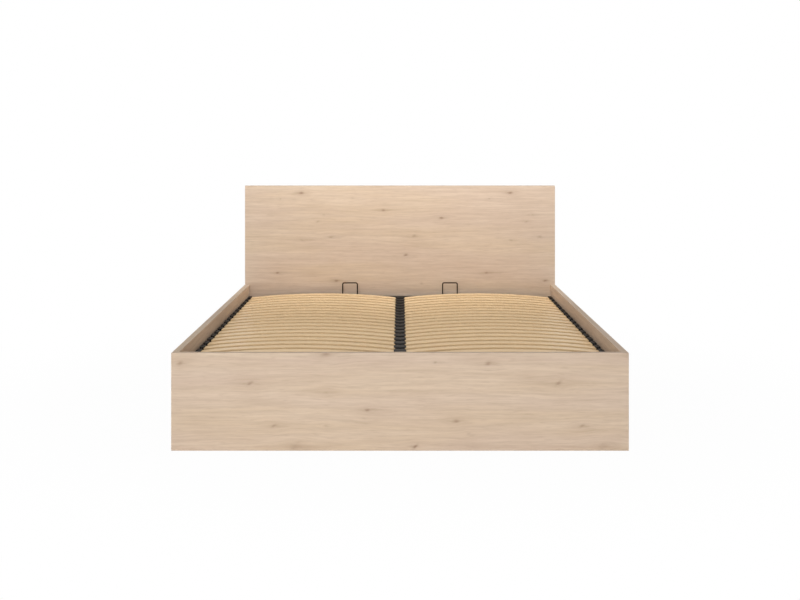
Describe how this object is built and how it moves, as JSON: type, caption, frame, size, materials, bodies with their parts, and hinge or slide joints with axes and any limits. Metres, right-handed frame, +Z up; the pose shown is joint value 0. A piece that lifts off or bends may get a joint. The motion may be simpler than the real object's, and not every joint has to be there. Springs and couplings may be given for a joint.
{
  "type": "storage_bed",
  "caption": "Lift-up storage bed: plain oak-look head, foot and side boards, sprung slats on a steel frame that tilts up on arms and gas springs",
  "frame": {"origin": "middle of the floor rectangle under the bed, on the floor", "axes": "+Z up, +Y towards the headboard, +X to the right seen from the foot end"},
  "size_m": [1.66, 2.052, 0.884],
  "materials": {
    "oak_laminate": "light oak laminate, satin",
    "floor_board": "thin board with a pale film",
    "pine_batten": "planed raw wood",
    "beech_slat": "bent laminated veneer, satin",
    "black_plastic": "moulded, matte",
    "black_rubber": "matte",
    "black_steel": "black powder coat, satin",
    "polished_steel": "ground and polished",
    "zinc_steel": "zinc plated"
  },
  "bodies": {
    "bed_case": {"corner_brackets": "zinc_steel", "floor_bearers": "pine_batten", "footboard": "oak_laminate", "headboard": "oak_laminate", "lift_plate_bolts": "zinc_steel", "lift_plate_left": "black_steel", "lift_plate_pins": "zinc_steel", "lift_plate_right": "black_steel", "rest_battens": "pine_batten", "rest_buffers": "black_rubber", "side_rail_left": "oak_laminate", "side_rail_right": "oak_laminate", "storage_floor_left": "floor_board", "storage_floor_right": "floor_board", "wood_screws": "zinc_steel"},
    "lift_frame": {"centre_beam": "black_steel", "centre_slat_holders": "black_plastic", "cross_tubes": "black_steel", "foot_tube": "black_steel", "frame_bar_bolts": "zinc_steel", "frame_bar_left": "black_steel", "frame_bar_pins": "zinc_steel", "frame_bar_right": "black_steel", "frame_tube_left": "black_steel", "frame_tube_right": "black_steel", "head_tube": "black_steel", "mattress_stop_left": "black_steel", "mattress_stop_right": "black_steel", "side_slat_holders": "black_plastic", "slat_row_01": "beech_slat", "slat_row_02": "beech_slat", "slat_row_03": "beech_slat", "slat_row_04": "beech_slat", "slat_row_05": "beech_slat", "slat_row_06": "beech_slat", "slat_row_07": "beech_slat", "slat_row_08": "beech_slat", "slat_row_09": "beech_slat", "slat_row_10": "beech_slat", "slat_row_11": "beech_slat", "slat_row_12": "beech_slat", "slat_row_13": "beech_slat", "slat_row_14": "beech_slat", "slat_row_15": "beech_slat", "slat_row_16": "beech_slat", "slat_row_17": "beech_slat", "slat_row_18": "beech_slat", "slat_row_19": "beech_slat", "slat_row_20": "beech_slat", "slat_row_21": "beech_slat", "stop_bushes": "black_plastic", "tube_plugs": "black_plastic"},
    "rear_arm_left": {"rear_arm_left": "black_steel"},
    "rear_arm_right": {"rear_arm_right": "black_steel"},
    "front_arm_left": {"front_arm_left": "black_steel"},
    "front_arm_right": {"front_arm_right": "black_steel"},
    "spring_cylinder_left": {"gas_spring_cylinder_left": "black_steel"},
    "spring_cylinder_right": {"gas_spring_cylinder_right": "black_steel"},
    "spring_rod_left": {"gas_spring_rod_left": "polished_steel"},
    "spring_rod_right": {"gas_spring_rod_right": "polished_steel"}
  },
  "joints": [
    {"name": "lift", "type": "hinge", "parent": "bed_case", "child": "rear_arm_left", "pos_m": [-0.7995, 0.361, 0.124], "axis": [1, 0, 0], "range_deg": [0, 62]},
    {"name": "frame_tilt", "type": "hinge", "parent": "rear_arm_left", "child": "lift_frame", "pos_m": [-0.7975, 0.656, 0.229], "axis": [-1, 0, 0], "range_deg": [0, 102]},
    {"name": "rear_arm_right_turn", "type": "hinge", "parent": "bed_case", "child": "rear_arm_right", "pos_m": [0.7995, 0.361, 0.124], "axis": [1, 0, 0], "range_deg": [0, 62]},
    {"name": "front_arm_left_turn", "type": "hinge", "parent": "bed_case", "child": "front_arm_left", "pos_m": [-0.79, 0.19549, 0.09], "axis": [1, 0, 0], "range_deg": [0, 54.29]},
    {"name": "spring_left_turn", "type": "hinge", "parent": "bed_case", "child": "spring_cylinder_left", "pos_m": [-0.776, 0.419, 0.075], "axis": [1, 0, 0], "range_deg": [0, 65.44]},
    {"name": "spring_left_reach", "type": "slide", "parent": "spring_cylinder_left", "child": "spring_rod_left", "axis": [0, 0.8378, 0.546], "range_m": [0, 0.1285]},
    {"name": "front_arm_right_turn", "type": "hinge", "parent": "bed_case", "child": "front_arm_right", "pos_m": [0.79, 0.19549, 0.09], "axis": [1, 0, 0], "range_deg": [0, 54.29]},
    {"name": "spring_right_turn", "type": "hinge", "parent": "bed_case", "child": "spring_cylinder_right", "pos_m": [0.776, 0.419, 0.075], "axis": [1, 0, 0], "range_deg": [0, 65.44]},
    {"name": "spring_right_reach", "type": "slide", "parent": "spring_cylinder_right", "child": "spring_rod_right", "axis": [0, 0.8378, 0.546], "range_m": [0, 0.1285]}
  ],
  "couplings": [
    {"joint": "frame_tilt", "follows": "lift", "ratio": 1.6452},
    {"joint": "rear_arm_right_turn", "follows": "lift", "ratio": 1},
    {"joint": "front_arm_left_turn", "follows": "lift", "ratio": 0.87554},
    {"joint": "spring_left_turn", "follows": "lift", "ratio": 1.0553},
    {"joint": "spring_left_reach", "follows": "lift", "m_per_rad": 0.11869},
    {"joint": "front_arm_right_turn", "follows": "lift", "ratio": 0.87554},
    {"joint": "spring_right_turn", "follows": "lift", "ratio": 1.0553},
    {"joint": "spring_right_reach", "follows": "lift", "m_per_rad": 0.11869}
  ]
}
